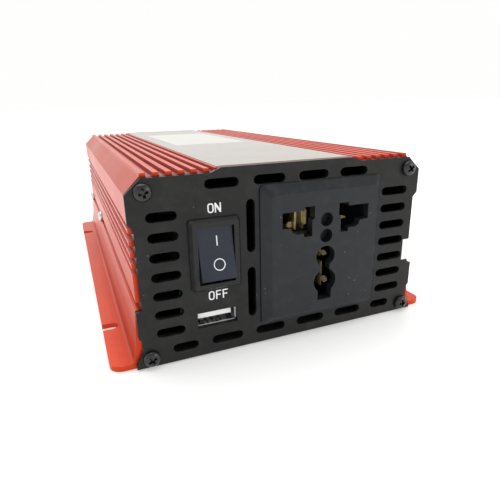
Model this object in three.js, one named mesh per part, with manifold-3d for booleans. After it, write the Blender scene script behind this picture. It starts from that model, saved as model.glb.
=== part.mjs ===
// Power inverter: red anodised extrusion with flanges, black end panels, rocker switch,
// USB charging port and universal mains socket in front; fan and screw terminals behind.
// Millimetres. X across, Y from the socket end (-Y) to the terminal end (+Y), Z up.
import * as THREE from "three";
import { mergeVertices } from "three/addons/utils/BufferGeometryUtils.js";
import Module from "manifold-3d";

const wasm = await Module();
wasm.setup();

// ---- driving dimensions -------------------------------------------------
const CASE_LEN = 194;          // front face of front panel to rear face of rear panel
const PANEL_T = 1.6;           // end panel sheet
const FLANGE_HALF = 59.6;      // half width over the mounting flanges
const FLANGE_T = 1.75;
const FLANGE_R = 4;            // rounded flange corners
const CASE_TOP = 59.3;         // central flat of the roof
const RIB_TOP = 59.3;
const RIB_FLOOR = 58.2;
const WALL_IN = 46.8;          // inner face of the side walls
const ROOF_IN = 56.3;          // underside of the roof
const FLOOR_IN = 1.9;          // top of the floor
const SLOT_W = 4.7;            // mounting slots in the flanges
const SLOT_IN = 54;            // inner end of the mounting slots
const SLOT_Y = [29.7, 165];
const SCREW_TOP = [45.2, 54.3];   // panel screws, upper pair
const SCREW_LOW = [47.3, 3.35];   // panel screws, lower pair
const SIDE_SCREW_Y = [119, 180];
const SIDE_SCREW_Z = 21.5;
const SW = { x: -25.5, z: 33.9, w: 16, h: 22.3, proud: 2, apW: 11.4, apH: 17.8 };
const ROCKER_R = 8.7;          // ends of the rocker sweep on this radius
const ROCKER_Y = 1.0;          // rocker pivot behind the panel face
const ROCKER_TILT = 12;        // degrees either side of level
const USB = { x: -25.6, z: 12.5, w: 13.9, h: 5.9, t: 0.35 };   // shell, outside
const SO = { x: 11.5, z: 29.95, w: 44.4, h: 46.7, fw: 38.8, fh: 40.6, proud: 3, bw: 39, bh: 41, depth: 18 };
const FAN = { x: -17, z: 29.5, s: 50, t: 15, r: 23.5, pitch: 20 };
const TERM_X = 28, TERM_Z = [43, 16.5];
const BOARD = { hx: 46.4, y0: 23, y1: 175, z0: 7.7, z1: 9.3 };

// ---- helpers ------------------------------------------------------------
const V = (a) => a.map(([x, y]) => new THREE.Vector2(x, y));
const circle = (cx, cz, r, n = 20, ph = 0) =>
  Array.from({ length: n }, (_, i) => { const a = ph + (i / n) * 2 * Math.PI; return [cx + r * Math.cos(a), cz + r * Math.sin(a)]; });
const rect = (x0, x1, z0, z1) => [[x0, z0], [x1, z0], [x1, z1], [x0, z1]];
function rrect(cx, cz, w, h, r, n = 4) {
  const out = [];
  const c = [[w / 2 - r, -h / 2 + r, -90], [w / 2 - r, h / 2 - r, 0], [-w / 2 + r, h / 2 - r, 90], [-w / 2 + r, -h / 2 + r, 180]];
  for (const [x, z, a0] of c) for (let i = 0; i <= n; i++) { const a = ((a0 + (90 * i) / n) * Math.PI) / 180; out.push([cx + x + r * Math.cos(a), cz + z + r * Math.sin(a)]); }
  return out;
}
const slotH = (cx, cz, w, h = 2.9, n = 4) => {
  const r = h / 2, out = [];
  for (let i = 0; i <= n; i++) { const a = -Math.PI / 2 + (Math.PI * i) / n; out.push([cx + w / 2 - r + r * Math.cos(a), cz + r * Math.sin(a)]); }
  for (let i = 0; i <= n; i++) { const a = Math.PI / 2 + (Math.PI * i) / n; out.push([cx - w / 2 + r + r * Math.cos(a), cz + r * Math.sin(a)]); }
  return out;
};
const slotV = (cx, z0, z1, w) => slotH(0, 0, z1 - z0, w).map(([a, b]) => [cx - b, (z0 + z1) / 2 + a]);
function extr(pts, depth, holes = []) {
  const s = new THREE.Shape(V(pts));
  for (const h of holes) s.holes.push(new THREE.Path(V(h)));
  return new THREE.ExtrudeGeometry(s, { depth, bevelEnabled: false, curveSegments: 1 });
}
// outline in X-Z, swept along Y
const prismY = (pts, y0, y1, holes = []) => extr(pts, y1 - y0, holes).rotateX(Math.PI / 2).translate(0, y1, 0);
// outline in X-Y, swept along Z
const prismZ = (pts, z0, z1, holes = []) => extr(pts, z1 - z0, holes).translate(0, 0, z0);
// outline in Y-Z, swept along X
const prismX = (pts, x0, x1, holes = []) => extr(pts, x1 - x0, holes).applyMatrix4(new THREE.Matrix4().set(0, 0, 1, 0, 1, 0, 0, 0, 0, 1, 0, 0, 0, 0, 0, 1)).translate(x0, 0, 0);
const box = (x0, x1, y0, y1, z0, z1) => new THREE.BoxGeometry(x1 - x0, y1 - y0, z1 - z0).translate((x0 + x1) / 2, (y0 + y1) / 2, (z0 + z1) / 2);
// convex rings of equal count, first ring to last, closed with flat ends
function loftY(rings) {
  const n = rings[0].pts.length, pos = [], idx = [];
  for (const r of rings) for (const [x, z] of r.pts) pos.push(x, r.y, z);
  for (let k = 0; k < rings.length - 1; k++) for (let i = 0; i < n; i++) {
    const a = k * n + i, b = k * n + ((i + 1) % n), c = a + n, d = b + n;
    idx.push(a, c, b, b, c, d);
  }
  const e = (rings.length - 1) * n;
  for (let i = 1; i < n - 1; i++) { idx.push(0, i, i + 1); idx.push(e, e + i + 1, e + i); }
  const g = new THREE.BufferGeometry();
  g.setAttribute("position", new THREE.Float32BufferAttribute(pos, 3));
  g.setIndex(idx);
  return g;
}
function volume(g) {
  const p = g.attributes.position, ix = g.index ? g.index.array : Array.from({ length: p.count }, (_, i) => i);
  let v = 0; const a = new THREE.Vector3(), b = new THREE.Vector3(), c = new THREE.Vector3();
  for (let i = 0; i < ix.length; i += 3) { a.fromBufferAttribute(p, ix[i]); b.fromBufferAttribute(p, ix[i + 1]); c.fromBufferAttribute(p, ix[i + 2]); v += a.dot(b.cross(c)) / 6; }
  return v;
}
function flip(g) {
  const ix = g.index.array;
  for (let i = 0; i < ix.length; i += 3) { const t = ix[i + 1]; ix[i + 1] = ix[i + 2]; ix[i + 2] = t; }
  return g;
}
function clean(g) {
  let q = g.clone();
  for (const k of Object.keys(q.attributes)) if (k !== "position") q.deleteAttribute(k);
  q = mergeVertices(q, 1e-4);
  const ix = q.index.array, keep = [];
  for (let i = 0; i < ix.length; i += 3) if (ix[i] !== ix[i + 1] && ix[i + 1] !== ix[i + 2] && ix[i] !== ix[i + 2]) keep.push(ix[i], ix[i + 1], ix[i + 2]);
  q.setIndex(keep);
  if (volume(q) < 0) flip(q);
  return q;
}
function man(g) {
  const q = clean(g);
  return new wasm.Manifold(new wasm.Mesh({ numProp: 3, vertProperties: Float32Array.from(q.attributes.position.array), triVerts: Uint32Array.from(q.index.array) }));
}
function geo(m) {
  const k = m.getMesh(), g = new THREE.BufferGeometry();
  const p = new Float32Array((k.vertProperties.length / k.numProp) * 3);
  for (let i = 0; i < p.length / 3; i++) for (let j = 0; j < 3; j++) p[3 * i + j] = k.vertProperties[i * k.numProp + j];
  g.setAttribute("position", new THREE.Float32BufferAttribute(p, 3));
  g.setIndex(Array.from(k.triVerts));
  return g;
}
const cut = (g, ...t) => geo(t.reduce((m, k) => m.subtract(man(k)), man(g)));
const join = (g, ...t) => geo(t.reduce((m, k) => m.add(man(k)), man(g)));
// profile of [radius, distance along axis], turned about an axis through the origin along +Z, then placed
const turn = (prof, n) => new THREE.LatheGeometry(V(prof), n).rotateX(Math.PI / 2);
const alongY = (g, x, y, z) => g.rotateX(-Math.PI / 2).translate(x, y, z);        // +Z of the turned piece to +Y
const alongNY = (g, x, y, z) => g.rotateX(Math.PI / 2).translate(x, y, z);        // to -Y
const alongX = (g, x, y, z) => g.rotateY(Math.PI / 2).translate(x, y, z);         // to +X
const alongNX = (g, x, y, z) => g.rotateY(-Math.PI / 2).translate(x, y, z);       // to -X
const rodY = (x, z, r, y0, y1, n = 16) => prismY(circle(x, z, r, n), y0, y1);
const mirrorX = (pts) => pts.map(([x, z]) => [-x, z]).reverse();

const M = (color, roughness, metalness) => new THREE.MeshStandardMaterial({ color, roughness, metalness });
const parts = [];
function add(name, g, mat) {
  const q = clean(g);
  q.computeVertexNormals();
  const m = new THREE.Mesh(q, mat);
  m.name = name;
  parts.push(m);
}
const RED = [0xcf4a2e, 0.38, 0.75], BLACK = [0x262728, 0.5, 0.3], PLASTIC = [0x2a2f37, 0.45, 0.0];

// ---- extruded housing ---------------------------------------------------
const ribs = [[45.5, 43.7], [41.8, 40.0], [38.2, 36.4], [34.6, 32.8], [30.9, 29.2], [27.3, 25.6]];
const half = [
  [FLANGE_HALF, 0], [FLANGE_HALF, FLANGE_T], [53.4, FLANGE_T], [52.6, 2.4], [51.2, 9.5], [50.5, 19.3], [48.8, 19.6],
  [48.8, 21.6], [50.1, 21.9], [50.1, 30.6],
  [48.7, 31.0], [48.7, 32.2], [50.1, 32.5], [50.1, 33.6],
  [48.7, 34.0], [48.7, 35.5], [50.1, 35.9], [50.1, 37.0],
  [48.7, 37.4], [48.7, 39.0], [50.1, 39.4], [50.1, 40.5],
  [48.7, 40.9], [48.7, 42.6], [50.1, 43.0], [50.1, 44.1],
  [48.7, 44.5], [48.7, 45.3], [50.2, 45.7], [50.2, 53.8], [45.8, RIB_FLOOR],
];
for (let i = 0; i < ribs.length; i++) {
  const [o, n] = ribs[i];
  half.push([o + (i ? 0.12 : 0.05), i ? RIB_FLOOR : RIB_FLOOR + 0.25], [o - 0.1, RIB_TOP], [n + 0.1, RIB_TOP], [n - 0.12, RIB_FLOOR]);
}
half.push([24.1, RIB_FLOOR], [23.9, CASE_TOP]);
const outer = [...half, ...mirrorX(half)];
const innerHalf = [
  [44.3, FLOOR_IN], [44.3, 7.6], [WALL_IN, 7.6], [WALL_IN, 9.6], [44.6, 9.6], [44.6, 11.2], [WALL_IN, 11.2],
  [WALL_IN, 51.3], [42.3, 51.3], [42.3, ROOF_IN],
];
const inner = [...innerHalf, ...mirrorX(innerHalf)];
const ports = [];
for (const s of [-1, 1]) { ports.push(circle(s * SCREW_TOP[0], SCREW_TOP[1], 1.3, 12)); ports.push(circle(s * SCREW_LOW[0], SCREW_LOW[1], 1.3, 12)); }
const housingCuts = [];
for (const s of [-1, 1]) {
  for (const y of SLOT_Y) {
    const n = 8, r = SLOT_W / 2, pts = [];
    for (let i = 0; i <= n; i++) { const a = -Math.PI / 2 - (Math.PI * i) / n; pts.push([s * (SLOT_IN + r + r * Math.cos(a)), y + r * Math.sin(a)]); }
    pts.push([s * 62, y + r], [s * 62, y - r]);
    housingCuts.push(prismZ(pts, -1, 3));
  }
  for (const y of [0, 1]) {
    const yc = y ? CASE_LEN - PANEL_T : PANEL_T, d = y ? -1 : 1, pts = [[s * 61, yc - d], [s * 61, yc + d * FLANGE_R]];
    for (let i = 0; i <= 6; i++) { const a = (Math.PI / 2) * (i / 6); pts.push([s * (FLANGE_HALF - FLANGE_R + FLANGE_R * Math.cos(a)), yc + d * (FLANGE_R - FLANGE_R * Math.sin(a))]); }
    pts.push([s * (FLANGE_HALF - FLANGE_R), yc - d]);
    housingCuts.push(prismZ(pts, -1, 3));
  }
  for (const y of SIDE_SCREW_Y) {
    const f = s > 0 ? alongX : alongNX;
    housingCuts.push(f(turn([[0, 0], [1.55, 0], [1.55, 6], [0, 6]], 12), s * 46, y, SIDE_SCREW_Z));
    housingCuts.push(f(turn([[0, 0], [3.1, 0], [3.1, 3], [0, 3]], 20), s * 50.1, y, SIDE_SCREW_Z));
  }
}
add("housing_extrusion", cut(prismY(outer, PANEL_T, CASE_LEN - PANEL_T, [inner, ...ports]), ...housingCuts), M(...RED));

// ---- end panels ---------------------------------------------------------
const panelHalf = [
  [51.9, 0.3], [51.9, 1.3], [49.6, 5.5], [49.6, 9.6], [50.5, 10.5], [50.5, 19.0], [48.7, 19.4], [48.7, 44.1],
  [50.2, 45.7], [50.2, 53.8], [45.5, 58.1], [25.7, 58.1], [22.4, 59.45],
];
const panelOutline = [...panelHalf, ...mirrorX(panelHalf)];
const screwHoles = [];
for (const s of [-1, 1]) { screwHoles.push(circle(s * SCREW_TOP[0], SCREW_TOP[1], 1.5, 12)); screwHoles.push(circle(s * SCREW_LOW[0], SCREW_LOW[1], 1.5, 12)); }
const COLUMN_Z = [47, 41, 35, 29, 23, 17, 11];
const frontHoles = [
  ...COLUMN_Z.map((z) => slotH(-40.7, z, 9.05)), ...COLUMN_Z.map((z) => slotH(40.2, z, 10.8)),
  ...[-22.5, -7.2, 8.1, 23.1].map((x) => slotH(x, 55, 10.7)),
  slotH(-36.4, 4.85, 8.3), ...[-22.5, -7.2, 8.0, 23.3].map((x) => slotH(x, 4.85, 10.7)), slotH(37.4, 4.85, 8),
  slotV(-13.7, 32.5, 49.5, 2.8), slotV(-13.7, 10.5, 27.7, 2.8),
  rect(SW.x - 6.6, SW.x + 6.6, SW.z - 9.7, SW.z + 9.7),
  rect(USB.x - 6.6, USB.x + 6.6, USB.z - 2.55, USB.z + 2.55),
  rect(SO.x - SO.bw / 2 - 0.2, SO.x + SO.bw / 2 + 0.2, SO.z - SO.bh / 2 - 0.2, SO.z + SO.bh / 2 + 0.2),
  ...screwHoles,
];
add("front_panel", prismY(panelOutline, 0, PANEL_T, frontHoles), M(...BLACK));
const fanHoles = [[-1, -1], [1, -1], [-1, 1], [1, 1]].map(([a, b]) => [FAN.x + a * FAN.pitch, FAN.z + b * FAN.pitch]);
const rearHoles = [
  circle(FAN.x, FAN.z, 23, 36), ...fanHoles.map(([x, z]) => circle(x, z, 1.75, 12)),
  ...TERM_Z.map((z) => circle(TERM_X, z, 5, 18)), ...screwHoles,
];
add("rear_panel", prismY(panelOutline, CASE_LEN - PANEL_T, CASE_LEN, rearHoles), M(...BLACK));

// ---- pan-head screws with a cross recess --------------------------------
function screw(rh, hh, rs, len, n, recess = true) {
  const g = turn([[0, hh], [rh * 0.62, hh * 0.94], [rh * 0.95, hh * 0.5], [rh, 0], [rs, 0], [rs, -len], [0, -len]].reverse(), n);
  if (!recess) return g;
  const w = rh * 0.17, l = rh * 0.62, d = hh * 0.45;
  return cut(g, box(-l, l, -w, w, hh - d, hh + 1), box(-w, w, -l, l, hh - d, hh + 1));
}
let k = 1;
for (const [sx, p] of [[-1, SCREW_TOP], [1, SCREW_TOP], [-1, SCREW_LOW], [1, SCREW_LOW]])
  add(`front_screw_${k++}`, alongNY(screw(2.65, 2.0, 1.25, 8, 16), sx * p[0], 0, p[1]), M(0x1d1e20, 0.4, 0.7));
k = 1;
for (const [sx, p] of [[-1, SCREW_TOP], [1, SCREW_TOP], [-1, SCREW_LOW], [1, SCREW_LOW]])
  add(`rear_screw_${k++}`, alongY(screw(2.65, 2.0, 1.25, 8, 12, false), sx * p[0], CASE_LEN, p[1]), M(0x1d1e20, 0.4, 0.7));
k = 1;
for (const s of [-1, 1]) for (const y of SIDE_SCREW_Y)
  add(`side_screw_${k++}`, (s > 0 ? alongX : alongNX)(screw(2.8, 1.9, 1.45, 6.6, 12, false), s * 50.1, y, SIDE_SCREW_Z), M(0xb9bcc0, 0.3, 1.0));

// ---- rocker switch ------------------------------------------------------
const swHousing = join(
  loftY([{ y: 0, pts: rrect(SW.x, SW.z, SW.w, SW.h, 0.8, 3) }, { y: -0.7, pts: rrect(SW.x, SW.z, SW.w, SW.h, 0.8, 3) }, { y: -SW.proud, pts: rrect(SW.x, SW.z, SW.w - 1.7, SW.h - 1.7, 0.5, 3) }]),
  box(SW.x - 6.4, SW.x + 6.4, -0.5, 14, SW.z - 9.5, SW.z + 9.5));
add("switch_housing", cut(swHousing, box(SW.x - SW.apW / 2, SW.x + SW.apW / 2, -4, 7.6, SW.z - SW.apH / 2, SW.z + SW.apH / 2),
  prismX(circle(ROCKER_Y, SW.z, 1.35, 16), SW.x - 6.2, SW.x + 6.2)), M(0x1e2228, 0.4, 0.0));
const rp = [], tipY = -3.4;                       // rocker side outline about its pivot, in Y-Z
for (let i = 0; i <= 6; i++) { const a0 = Math.atan2(8.0, tipY), a1 = Math.atan2(8.33, 2.5), a = a0 + ((a1 - a0) * i) / 6; rp.push([ROCKER_R * Math.cos(a), ROCKER_R * Math.sin(a)]); }
const rockerSide = [...rp, [2.5, 2.5], [4.6, 1.4], [4.6, -1.4], [2.5, -2.5], ...rp.map(([y, z]) => [y, -z]).reverse(), [-2.95, -4], [-2.75, 0], [-2.95, 4]];
let rocker = join(prismX(rockerSide, -SW.apW / 2 + 0.3, SW.apW / 2 - 0.3), prismX(circle(0, 0, 1.15, 14), -6.05, 6.05));
rocker = rocker.rotateX((-ROCKER_TILT * Math.PI) / 180).translate(SW.x, ROCKER_Y, SW.z);
add("switch_rocker", rocker, M(0x2b313b, 0.35, 0.0));
for (const [i, z] of [[1, SW.z - 4.5], [2, SW.z + 4.5]])
  add(`switch_terminal_${i}`, box(SW.x - 2.4, SW.x + 2.4, 14, 21.5, z - 0.4, z + 0.4), M(0xc9a45a, 0.35, 1.0));

// ---- USB charging port --------------------------------------------------
const uo = rrect(USB.x, USB.z, USB.w, USB.h, 0.6, 3), ui = rrect(USB.x, USB.z, USB.w - 2 * USB.t, USB.h - 2 * USB.t, 0.35, 3);
add("usb_shell", join(prismY(uo, PANEL_T, 13, [ui]), prismY(uo, 12.9, 13.6)), M(0xc4c7ca, 0.25, 1.0));
add("usb_tongue", box(USB.x - 5.9, USB.x + 5.1, 2.2, 12.9, USB.z - 0.2, USB.z + 1.5), M(0xe9e7e0, 0.5, 0.0));
add("usb_board", box(USB.x - 9, USB.x + 9, 13.6, 15.2, USB.z - 2.8, USB.z + 7), M(0x1f5a34, 0.55, 0.1));

// ---- universal mains socket ---------------------------------------------
const ax = SO.x;
const blade = [[4.5, 45.65], [8.1, 45.65], [8.25, 44.5], [15.9, 44.5], [15.9, 39.5], [12.8, 39.2], [12.3, 37.8], [11.0, 37.1], [8.3, 37.1], [8.2, 35.9], [5.3, 35.9], [5.3, 41.4], [4.5, 41.6]];
const apR = blade.map(([d, z]) => [ax + d, z]), apL = blade.map(([d, z]) => [ax - d, z]);
const plate = loftY([{ y: 0, pts: rrect(SO.x, SO.z, SO.w, SO.h, 1.6) }, { y: -0.5, pts: rrect(SO.x, SO.z, SO.w, SO.h, 1.6) }, { y: -SO.proud, pts: rrect(SO.x, SO.z, SO.fw, SO.fh, 1.2) }]);
add("socket_faceplate", cut(plate,
  prismY(apR, -5, 2), prismY(apL, -5, 2), rodY(ax, 40.8, 2.3, -5, 2, 18), rodY(ax, 35.4, 2.3, -5, 2, 18),
  rodY(ax, 28.4, 3.5, -5, 2, 24), rodY(ax, 19.6, 4.2, -5, 2, 24), box(ax - 1.7, ax + 1.7, -5, 2, 22, 26), box(ax - 2.6, ax + 2.6, -5, 2, 12.9, 18)), M(...PLASTIC));
add("socket_body", cut(box(SO.x - SO.bw / 2, SO.x + SO.bw / 2, 0, SO.depth, SO.z - SO.bh / 2, SO.z + SO.bh / 2),
  box(SO.x - SO.bw / 2 + 1.8, SO.x + SO.bw / 2 - 1.8, -1, SO.depth - 2, SO.z - SO.bh / 2 + 1.8, SO.z + SO.bh / 2 - 1.8)), M(0x23272e, 0.55, 0.0));
const BRASS = [0xc79a4b, 0.32, 1.0], cy = SO.depth - 2;
for (const [n, s] of [["line", -1], ["neutral", 1]]) {
  const g = join(box(ax + Math.min(s * 4.7, s * 16.2), ax + Math.max(s * 4.7, s * 16.2), cy - 0.8, cy, 36, 45.6),
    box(ax + Math.min(s * 4.7, s * 5.25), ax + Math.max(s * 4.7, s * 5.25), 4, cy - 0.4, 36.6, 45), box(ax + Math.min(s * 7.5, s * 8.1), ax + Math.max(s * 7.5, s * 8.1), 4, cy - 0.4, 36.6, 45));
  add(`contact_${n}`, g, M(...BRASS));
}
add("contact_earth", join(box(ax - 3.7, ax + 3.7, cy - 0.8, cy, 12.6, 32.2), ...[-1, 1].flatMap((s) => [[3.1, 3.7, 14.2, 23.4], [2.5, 3.1, 25.6, 31.2]].map(([a, b, z0, z1]) =>
  box(ax + Math.min(s * a, s * b), ax + Math.max(s * a, s * b), 5, cy - 0.4, z0, z1)))), M(...BRASS));

// ---- labels -------------------------------------------------------------
add("top_label", box(-23.1, 23.1, 3.2, CASE_LEN - 3.2, CASE_TOP, CASE_TOP + 0.18), M(0xc9c5bf, 0.4, 0.35));
add("seal_label", box(46.0, 48.6, -0.12, 0, 20.7, 28.5), M(0xf0efeb, 0.6, 0.0));

// ---- fan ----------------------------------------------------------------
const fy1 = CASE_LEN - PANEL_T, fy0 = fy1 - FAN.t;
const frameBody = prismY(rrect(FAN.x, FAN.z, FAN.s, FAN.s, 3, 3), fy0, fy1, [circle(FAN.x, FAN.z, FAN.r, 32), ...fanHoles.map(([x, z]) => circle(x, z, 1.75, 10))]);
const strut = (deg) => box(-1.6, 1.6, fy0, fy0 + 1.6, 8, 24.5).rotateY((deg * Math.PI) / 180).translate(FAN.x, 0, FAN.z);
add("fan_frame", join(frameBody, rodY(FAN.x, FAN.z, 12.6, fy0, fy0 + 2.2, 24), strut(20), strut(140), strut(260), rodY(FAN.x, FAN.z, 1.4, fy0 + 2, fy0 + 9, 12)), M(0x17181a, 0.5, 0.0));
let rotor = cut(rodY(0, 0, 12.2, 2.9, 13, 24), rodY(0, 0, 1.65, 2, 10, 12));
for (let b = 0; b < 7; b++) {
  const a = (b / 7) * 2 * Math.PI, pos = [];
  for (const [r, w] of [[11, 0.62], [22.3, 0.44]]) for (const [y, t] of [[4.2, -w], [12.2, w]]) for (const h of [-0.55, 0.55]) {
    const an = a + t; pos.push([r * Math.cos(an) - h * Math.sin(an), y, r * Math.sin(an) + h * Math.cos(an)]);
  }
  const g = new THREE.BufferGeometry();
  g.setAttribute("position", new THREE.Float32BufferAttribute(pos.flat(), 3));
  g.setIndex([0, 1, 3, 0, 3, 2, 4, 6, 7, 4, 7, 5, 0, 4, 5, 0, 5, 1, 2, 3, 7, 2, 7, 6, 0, 2, 6, 0, 6, 4, 1, 5, 7, 1, 7, 3]);
  rotor = join(rotor, g);
}
add("fan_rotor", rotor.translate(FAN.x, fy0, FAN.z), M(0x1b1c1f, 0.45, 0.0));
const gy0 = CASE_LEN, gy1 = CASE_LEN + 1.2;
const ring = (r, w, n) => prismY(circle(FAN.x, FAN.z, r + w / 2, n), gy0, gy1, [circle(FAN.x, FAN.z, r - w / 2, n)]);
const leg = (deg) => box(-0.8, 0.8, gy0, gy1, 4, 27).rotateY((deg * Math.PI) / 180).translate(FAN.x, 0, FAN.z);
const guard = join(ring(23.2, 1.5, 28), ring(19.5, 1.5, 24), ring(15.8, 1.5, 20), ring(12.1, 1.5, 16), rodY(FAN.x, FAN.z, 8.9, gy0, gy1, 16), leg(45), leg(135), leg(225), leg(315), ...fanHoles.map(([x, z]) => rodY(x, z, 3.4, gy0, gy1, 12)));
add("fan_guard", cut(guard, ...fanHoles.map(([x, z]) => rodY(x, z, 1.75, gy0 - 1, gy1 + 1, 12))), M(0xb8bbbe, 0.3, 1.0));
k = 1;
for (const [x, z] of fanHoles) add(`fan_screw_${k++}`, alongY(screw(2.9, 1.8, 1.6, 12, 12, false), x, gy1, z), M(0xb5b8bb, 0.3, 1.0));

// ---- battery terminals --------------------------------------------------
for (const [n, z, col, knobCol] of [["red", TERM_Z[0], 0xb2241c, 0xb2241c], ["black", TERM_Z[1], 0x1c1c1e, 0x1c1c1e]]) {
  const bore = (y0, y1, r = 3.3) => rodY(TERM_X, z, r, y0, y1, 16);
  add(`terminal_base_${n}`, cut(alongY(turn([[0, -3.2], [4.8, -3.2], [4.8, 0], [9.3, 0], [9.3, 3.2], [8.4, 4], [0, 4]], 28), TERM_X, CASE_LEN, z), bore(CASE_LEN - 5, CASE_LEN + 6, 3.15)), M(col, 0.4, 0.0));
  add(`terminal_stud_${n}`, join(rodY(TERM_X, z, 3.0, CASE_LEN - 12, CASE_LEN + 18, 16), prismY(circle(TERM_X, z, 5.6, 6), CASE_LEN - 8, CASE_LEN - 3.2)), M(0xc0a060, 0.3, 1.0));
  add(`terminal_washer_${n}`, cut(rodY(TERM_X, z, 7, CASE_LEN + 4, CASE_LEN + 5.2, 24), bore(CASE_LEN + 3, CASE_LEN + 7)), M(0xbfc2c5, 0.28, 1.0));
  const fl = Array.from({ length: 48 }, (_, i) => { const a = (i / 48) * 2 * Math.PI, r = i % 4 === 0 ? 7.85 : i % 4 === 2 ? 8.6 : 8.3; return [TERM_X + r * Math.cos(a), z + r * Math.sin(a)]; });
  const sc = (f) => fl.map(([x, zz]) => [TERM_X + (x - TERM_X) * f, z + (zz - z) * f]);
  const y0 = CASE_LEN + 5.2;
  const body = loftY([{ y: y0 + 16, pts: sc(0.86) }, { y: y0 + 15, pts: sc(0.98) }, { y: y0 + 3.2, pts: fl }, { y: y0 + 2.6, pts: sc(0.84) }, { y: y0, pts: sc(0.84) }]);
  add(`terminal_knob_${n}`, cut(body, bore(y0 - 1, y0 + 13.6)), M(knobCol, 0.38, 0.0));
}

// ---- electronics --------------------------------------------------------
add("main_board", box(-BOARD.hx, BOARD.hx, BOARD.y0, BOARD.y1, BOARD.z0, BOARD.z1), M(0x1f5a34, 0.55, 0.1));
add("insulation_sheet", box(-43.6, 43.6, 3, 175, FLOOR_IN, FLOOR_IN + 0.4), M(0x141414, 0.6, 0.0));
const bz = BOARD.z1;
const can = (x, y, r, h, n = 20) => turn([[0, 0], [r * 0.94, 0], [r, 0.6], [r, h - 0.7], [r * 0.92, h], [0, h]], n).translate(x, y, bz);
for (const [i, s] of [["left", -1], ["right", 1]]) {
  const a = s * 42.8, b = s * 46.6;
  add(`heat_bar_${i}`, cut(box(Math.min(a, b), Math.max(a, b), 92, 188, 12, 34), ...SIDE_SCREW_Y.map((y) => prismX(circle(y, SIDE_SCREW_Z, 1.55, 12), Math.min(a, b) - 1, Math.max(a, b) + 1))), M(0xb4b7ba, 0.4, 1.0));
}
k = 1;
for (const s of [-1, 1]) for (const y of [103, 135]) {
  const a = s * 38.2, b = s * 42.8;
  add(`transistor_${k++}`, box(Math.min(a, b), Math.max(a, b), y - 5, y + 5, bz, 28), M(0x1b1b1d, 0.5, 0.1));
}
const T = { x: 0, y: 118, w: 20, h: 25, d: 8, leg: 6.4, win: 6 };
add("transformer_core", cut(box(T.x - T.w, T.x + T.w, T.y - T.d, T.y + T.d, bz, bz + T.h),
  box(T.x - T.leg - T.win, T.x - T.leg, T.y - T.d - 1, T.y + T.d + 1, bz + 4, bz + T.h - 4), box(T.x + T.leg, T.x + T.leg + T.win, T.y - T.d - 1, T.y + T.d + 1, bz + 4, bz + T.h - 4)), M(0x3a3a3c, 0.7, 0.2));
add("transformer_winding", prismZ(rrect(T.x, T.y, 2 * (T.leg + 5.5), 2 * (T.d + 5.5), 3, 3), bz + 4.3, bz + T.h - 4.3, [rect(T.x - T.leg - 0.3, T.x + T.leg + 0.3, T.y - T.d - 0.3, T.y + T.d + 0.3)]), M(0xb8752e, 0.45, 0.4));
add("input_capacitor_1", can(-10, 158, 8, 24), M(0x1f2e5c, 0.4, 0.1));
add("input_capacitor_2", can(12, 158, 8, 24), M(0x1f2e5c, 0.4, 0.1));
add("output_capacitor", can(-24, 60, 9, 25), M(0x2b2b2e, 0.4, 0.1));
add("choke", new THREE.TorusGeometry(9, 4, 6, 16).translate(22, 62, bz + 4), M(0xa86a28, 0.5, 0.4));
for (const [i, x] of [[1, 20], [2, 31]]) add(`fuse_${i}`, box(x - 2.3, x + 2.3, 134, 148, bz, bz + 15), M(0x2f6fb4, 0.4, 0.0));

// ---- place: origin under the centre of the whole part --------------------
const bb = new THREE.Box3();
for (const m of parts) { m.geometry.computeBoundingBox(); bb.union(m.geometry.boundingBox); }
const group = new THREE.Group();
group.name = "power_inverter";
const dx = -(bb.min.x + bb.max.x) / 2, dy = -(bb.min.y + bb.max.y) / 2, dz = -bb.min.z;
for (const m of parts) { m.geometry.translate(dx, dy, dz); group.add(m); }
export default group;
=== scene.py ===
import bpy, bmesh, math
from mathutils import Vector, Matrix


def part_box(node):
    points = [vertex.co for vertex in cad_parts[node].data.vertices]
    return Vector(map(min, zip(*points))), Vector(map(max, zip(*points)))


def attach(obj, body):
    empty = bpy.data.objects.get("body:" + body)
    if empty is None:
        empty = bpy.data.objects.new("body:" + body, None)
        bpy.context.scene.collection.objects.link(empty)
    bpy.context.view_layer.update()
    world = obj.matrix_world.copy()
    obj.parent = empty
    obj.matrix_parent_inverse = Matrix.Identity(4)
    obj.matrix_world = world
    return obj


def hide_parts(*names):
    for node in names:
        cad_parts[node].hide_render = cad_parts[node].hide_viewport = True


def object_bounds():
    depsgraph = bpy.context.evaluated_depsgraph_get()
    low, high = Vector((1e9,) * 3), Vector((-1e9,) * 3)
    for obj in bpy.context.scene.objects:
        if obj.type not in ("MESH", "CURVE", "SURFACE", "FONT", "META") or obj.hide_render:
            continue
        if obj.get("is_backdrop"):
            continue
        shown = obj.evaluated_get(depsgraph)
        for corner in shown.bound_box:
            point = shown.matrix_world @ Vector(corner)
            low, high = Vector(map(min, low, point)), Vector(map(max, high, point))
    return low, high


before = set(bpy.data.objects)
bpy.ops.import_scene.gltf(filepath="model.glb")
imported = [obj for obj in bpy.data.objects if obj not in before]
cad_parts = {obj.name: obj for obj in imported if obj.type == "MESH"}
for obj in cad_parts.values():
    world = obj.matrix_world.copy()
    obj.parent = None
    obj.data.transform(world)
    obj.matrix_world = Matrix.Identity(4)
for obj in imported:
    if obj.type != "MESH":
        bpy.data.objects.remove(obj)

cad_lo, cad_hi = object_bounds()
Y0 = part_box("front_panel")[0][1] * 1000.0      # front face of the front panel, mm in the row frame


def W(x, y, z):
    """Millimetres from the front panel's face to metres in the row frame."""
    return Vector((x / 1000.0, (y + Y0) / 1000.0, z / 1000.0))


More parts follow.
